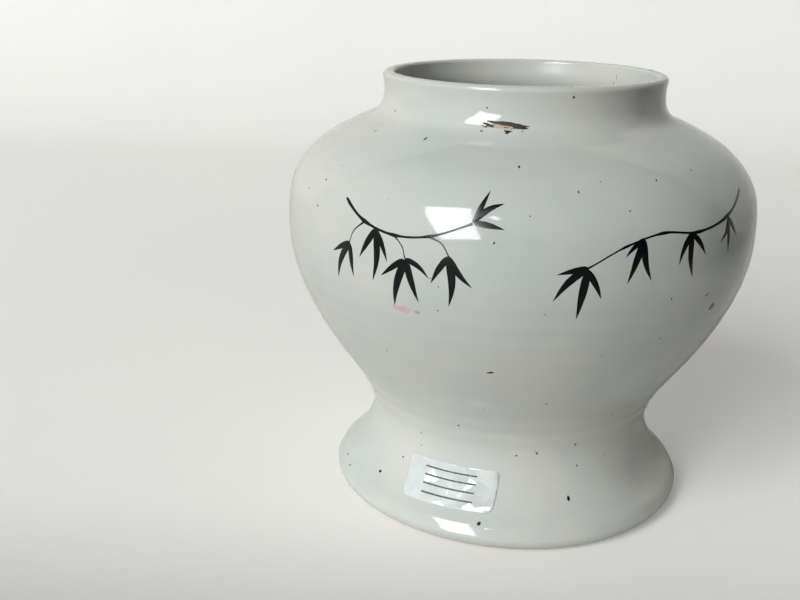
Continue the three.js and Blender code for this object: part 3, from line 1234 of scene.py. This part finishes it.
@dataclass
class FootLabel:
    """Small clear label on the foot with four plain ruled lines. Its sizes are in millimetres."""

    form: JarForm
    width: float = 29.5
    bottom: float = 9.7
    top: float = 20.8
    azimuth: float = -20.2
    tilt: float = 1.0
    corner: float = 2.0
    soft_edge: float = 0.6
    line_count: int = 4
    line_width: float = 0.42
    line_length: float = 16.5
    line_pitch: float = 2.25
    thickness: float = 0.12 * MM
    columns: int = 72
    rows: int = 34

    def spot(self, across: float, up: float, lift: float) -> Vector:
        """A point of the label.

        Args:
            across: The distance right of the label's middle, in millimetres.
            up: The distance above the label's middle, in millimetres.
            lift: The distance off the glaze, in metres.

        Returns:
            The point in metres.
        """
        turn = math.radians(self.tilt)
        x = across * math.cos(turn) - up * math.sin(turn)
        height = across * math.sin(turn) + up * math.cos(turn) + (self.bottom + self.top) / 2
        return self.form.on_wall(Wall.OUTER, x * MM, height * MM, lift, math.radians(self.azimuth))

    def layer(self, outside: bool) -> list[Vector]:
        """The points of one side of the film, row by row from the bottom.

        Args:
            outside: Whether it is the side that shows.

        Returns:
            The points in metres.
        """
        half_tall = (self.top - self.bottom) / 2
        made = []
        for row in range(self.rows + 1):
            up = (2 * row / self.rows - 1) * half_tall
            reach = max(abs(up) - (half_tall - self.corner), 0)
            half_wide = self.width / 2 - self.corner + math.sqrt(max(self.corner**2 - reach**2, 0))
            for column in range(self.columns + 1):
                across = (2 * column / self.columns - 1) * half_wide
                edge = min(half_wide - abs(across), half_tall - abs(up), self.soft_edge) / self.soft_edge
                thick = self.thickness * (0.55 + 0.45 * max(edge, 0) ** 0.5)
                made.append(self.spot(across, up, 0.02 * MM + thick if outside else 0.01 * MM))
        return made

    def film(self, material: bpy.types.Material) -> bpy.types.Object:
        """Make the film, closed, with round corners and a soft edge.

        Args:
            material: The film's material.

        Returns:
            The film.
        """
        points = self.layer(outside=True) + self.layer(outside=False)
        across = self.columns + 1
        under = across * (self.rows + 1)
        faces: list[tuple[int, ...]] = []
        for row in range(self.rows):
            for column in range(self.columns):
                a = row * across + column
                faces.append((a, a + 1, a + 1 + across, a + across))
                faces.append((a + under, a + across + under, a + 1 + across + under, a + 1 + under))
        rim = list(range(self.columns))
        rim += [row * across + self.columns for row in range(self.rows)]
        rim += [self.rows * across + column for column in range(self.columns, 0, -1)]
        rim += [row * across for row in range(self.rows, 0, -1)]
        for a, b in zip(rim, rim[1:] + rim[:1]):
            faces.append((a + under, b + under, b, a))
        piece = mesh_piece("label_film", points, faces, (material,))
        turn_out(piece)
        return finish_piece(piece, "label_film", "foot_label")

    def ruling(self, material: bpy.types.Material) -> bpy.types.Object:
        """Make the plain ruled lines printed on the film.

        Args:
            material: The print's material.

        Returns:
            The ruling.
        """
        points: list[Vector] = []
        faces: list[tuple[int, ...]] = []
        lift = self.thickness + 0.05 * MM
        steps = 40
        for line in range(self.line_count):
            middle = self.line_pitch * ((self.line_count - 1) / 2 - line)
            start = len(points)
            for i in range(steps + 1):
                across = self.line_length * (i / steps - 0.5)
                for side in (-0.5, 0.5):
                    points.append(self.spot(across, middle + side * self.line_width, lift))
            for i in range(steps):
                a = start + 2 * i
                faces.append((a, a + 2, a + 3, a + 1))
        piece = mesh_piece("label_ruling", points, faces, (material,))
        return finish_piece(piece, "label_film")


@dataclass(frozen=True)
class Lamp:
    """A soft rectangular lamp, placed and sized by the angles that the jar sees."""

    name: str
    azimuth: float
    elevation: float
    wide: float
    tall: float
    radiance: float
    roll: float = 0.0
    distance: float = 5.0
    target: tuple[float, float, float] = (0.0, 0.0, 0.08)
    tint: Colour = (255, 255, 255)

    def hang(self) -> None:
        """Make the lamp and turn it to the jar."""
        side, up = math.radians(self.azimuth), math.radians(self.elevation)
        away = Vector((math.sin(side) * math.cos(up), -math.cos(side) * math.cos(up), math.sin(up)))
        data = bpy.data.lights.new(self.name, "AREA")
        data.shape = "RECTANGLE"
        data.size = 2 * self.distance * math.tan(math.radians(self.wide / 2))
        data.size_y = 2 * self.distance * math.tan(math.radians(self.tall / 2))
        data.energy = self.radiance * math.pi * data.size * data.size_y
        data.color = to_linear(*self.tint)[:3]
        made = bpy.data.objects.new(self.name, data)
        made.location = Vector(self.target) + away * self.distance
        facing = (-away).to_track_quat("-Z", "Y").to_matrix()
        made.rotation_euler = (facing @ Matrix.Rotation(math.radians(self.roll), 3, "Z")).to_euler()
        made.visible_camera = False
        bpy.context.scene.collection.objects.link(made)


@dataclass
class Studio:
    """Plain pale paper, a soft window light from the left, and the photograph's camera."""

    focal_pixels: float = 1008.8
    camera_distance: float = 309.3 * MM
    camera_height: float = 160.8 * MM
    pan: float = -0.1173
    pitch: float = 0.3216
    roll: float = -0.0132
    sensor: float = 36.0
    window: Lamp = Lamp("window", -32, 28, 20, 44, 10.9, roll=20, tint=(252, 254, 255))
    glint: Lamp = Lamp("glint", -12, 44, 4.6, 3.0, 12.0, roll=-35)
    left_glow: float = 0.38
    top_glow: float = 0.06
    room_glow: float = 0.0
    paper: Colour = (229, 228, 223)
    paper_shade: Colour = (226, 224, 220)
    # Painted shade on the floor in front of the jar: its colour, and where it starts and ends towards the camera.
    paper_painted_shade: Colour = (150, 149, 145)
    painted_shade_start: float = -0.03
    painted_shade_end: float = -0.15
    paper_right_end: tuple[float, float] = (0.26, 0.4)
    paper_right_start: tuple[float, float] = (0.1, 0.4)
    paper_front_end: tuple[float, float] = (-0.14, -0.16)
    paper_front_loss: float = 0.5
    paper_beyond: Colour = (52, 52, 50)
    paper_glow: float = 0.18
    paper_half: float = 2.0
    paper_front: float = -3.0
    paper_back: float = 0.55
    paper_curve: float = 0.25
    paper_height: float = 1.35

    def camera(self) -> None:
        """Place the camera as the photograph's was."""
        ahead = Vector((
            math.sin(self.pan) * math.cos(self.pitch),
            math.cos(self.pan) * math.cos(self.pitch),
            -math.sin(self.pitch),
        ))
        level = Vector((math.cos(self.pan), -math.sin(self.pan), 0))
        down = ahead.cross(level)
        right = math.cos(self.roll) * level + math.sin(self.roll) * down
        below = -math.sin(self.roll) * level + math.cos(self.roll) * down
        data = bpy.data.cameras.new("camera")
        data.sensor_width = self.sensor
        data.lens = self.focal_pixels * self.sensor / IMAGE_WIDTH
        data.clip_start, data.clip_end = 0.01, 20
        made = bpy.data.objects.new("camera", data)
        turn = Matrix((right, -below, -ahead)).transposed().to_4x4()
        made.matrix_world = Matrix.Translation((0, -self.camera_distance, self.camera_height)) @ turn
        bpy.context.scene.collection.objects.link(made)
        bpy.context.scene.camera = made

    def room(self) -> None:
        """Make the dim room round the paper: it glows on the left and a little from above."""
        world = bpy.data.worlds.new("room")
        world.use_nodes = True
        bpy.context.scene.world = world
        tree = world.node_tree
        tree.nodes.clear()

        def add(kind: str, **values: object) -> bpy.types.Node:
            """Add a node with its properties set."""
            node = tree.nodes.new(kind)
            for key, value in values.items():
                setattr(node, key, value)
            return node

        way = add("ShaderNodeSeparateXYZ")
        tree.links.new(add("ShaderNodeTexCoord").outputs["Generated"], way.inputs[0])
        total = None
        for axis, far, glow in (("X", -1.0, self.left_glow), ("Z", 1.0, self.top_glow)):
            lobe = add("ShaderNodeMapRange", interpolation_type="SMOOTHSTEP")
            lobe.inputs["From Min"].default_value = 0.0
            lobe.inputs["From Max"].default_value = far
            lobe.inputs["To Max"].default_value = glow
            tree.links.new(way.outputs[axis], lobe.inputs["Value"])
            sum_up = add("ShaderNodeMath", operation="ADD")
            tree.links.new(lobe.outputs[0], sum_up.inputs[0])
            if total is None:
                sum_up.inputs[1].default_value = self.room_glow
            else:
                tree.links.new(total, sum_up.inputs[1])
            total = sum_up.outputs[0]
        dim = add("ShaderNodeBackground")
        tree.links.new(total, dim.inputs["Strength"])
        dim.inputs["Color"].default_value = to_linear(255, 252, 245)
        pale = add("ShaderNodeBackground")
        pale.inputs["Color"].default_value = to_linear(220, 219, 217)
        choose = add("ShaderNodeMixShader")
        tree.links.new(add("ShaderNodeLightPath").outputs["Is Camera Ray"], choose.inputs[0])
        tree.links.new(dim.outputs[0], choose.inputs[1])
        tree.links.new(pale.outputs[0], choose.inputs[2])
        tree.links.new(choose.outputs[0], add("ShaderNodeOutputWorld").inputs[0])

    def paper_finish(self) -> bpy.types.Material:
        """Make the paper's material: pale to the eye, with painted shade on the floor in front of the jar, towards the
        camera.

        The real paper ends a short way in front of the jar and right of it, so for rays that leave
        the jar it is dark there.

        Returns:
            The material.
        """
        n = Nodes("pale_paper")
        soft = n.noise(6.0, 3.0, 0.5)
        tone = n.ramp(soft, [(0.3, to_linear(*self.paper_shade)), (0.7, to_linear(*self.paper))])
        where = n.add("ShaderNodeSeparateXYZ")
        n.join(n.add("ShaderNodeTexCoord").outputs["Object"], where.inputs[0])
        # Painted shade: the paper darkens towards the camera in front of the jar.
        near = n.step(where.outputs["Y"], self.painted_shade_start, self.painted_shade_end)
        tone = n.blend(near, tone, to_linear(*self.paper_painted_shade))
        light = n.add("ShaderNodeLightPath")
        unseen = n.maths("SUBTRACT", 1.0, light.outputs["Is Camera Ray"])
        behind = n.step(where.outputs["Y"], *self.paper_right_start)
        right = n.maths("MULTIPLY", n.step(where.outputs["X"], *self.paper_right_end), n.maths("SUBTRACT", 1.0, behind))
        front = n.maths("MULTIPLY", n.step(where.outputs["Y"], *self.paper_front_end), self.paper_front_loss)
        beyond = n.maths("MULTIPLY", unseen, n.maths("MAXIMUM", right, front))
        shader = n.shader(Roughness=0.7)
        n.join(n.blend(beyond, tone, to_linear(*self.paper_beyond)), shader.inputs["Base Color"])
        glow = n.add("ShaderNodeEmission")
        n.join(n.maths("MULTIPLY", light.outputs["Is Camera Ray"], self.paper_glow), glow.inputs["Strength"])
        both = n.add("ShaderNodeAddShader")
        n.join(shader.outputs[0], both.inputs[0])
        n.join(glow.outputs[0], both.inputs[1])
        n.join(both.outputs[0], n.output.inputs[0])
        return n.material

    def sweep(self) -> None:
        """Lay the paper: a floor that curves up into a backdrop."""
        centre = (self.paper_back, self.paper_curve)
        bend = arc(centre, self.paper_curve, -90, 0, 16)
        line = [(self.paper_front, 0.0), *bend, (self.paper_back + self.paper_curve, self.paper_height)]
        points = [Vector((x, y, z)) for y, z in line for x in (-self.paper_half, self.paper_half)]
        faces = [(2 * i, 2 * i + 1, 2 * i + 3, 2 * i + 2) for i in range(len(line) - 1)]
        mesh_piece("paper_sweep", points, faces, (self.paper_finish(),))

    def build(self) -> None:
        """Set the camera, the light and the paper."""
        self.camera()
        self.room()
        self.sweep()
        self.window.hang()
        self.glint.hang()
        bpy.context.scene.view_settings.view_transform = "Standard"


def main() -> None:
    """Build the jar's pieces in order and dress them."""
    logging.basicConfig(level=logging.INFO, format="%(name)s %(message)s")
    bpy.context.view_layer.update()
    Studio().build()
    form = JarForm()
    glaze = GlazeFinish().build()
    GlazedShell(form).build(glaze, BiscuitFinish().build())
    Floor(form).build(glaze)
    Brushwork(form).build(InkFinish().build())
    KilnMarks(form).build()
    label = FootLabel(form)
    label.film(FilmFinish().build())
    label.ruling(PrintFinish().build())


if __name__ == "__main__":
    main()
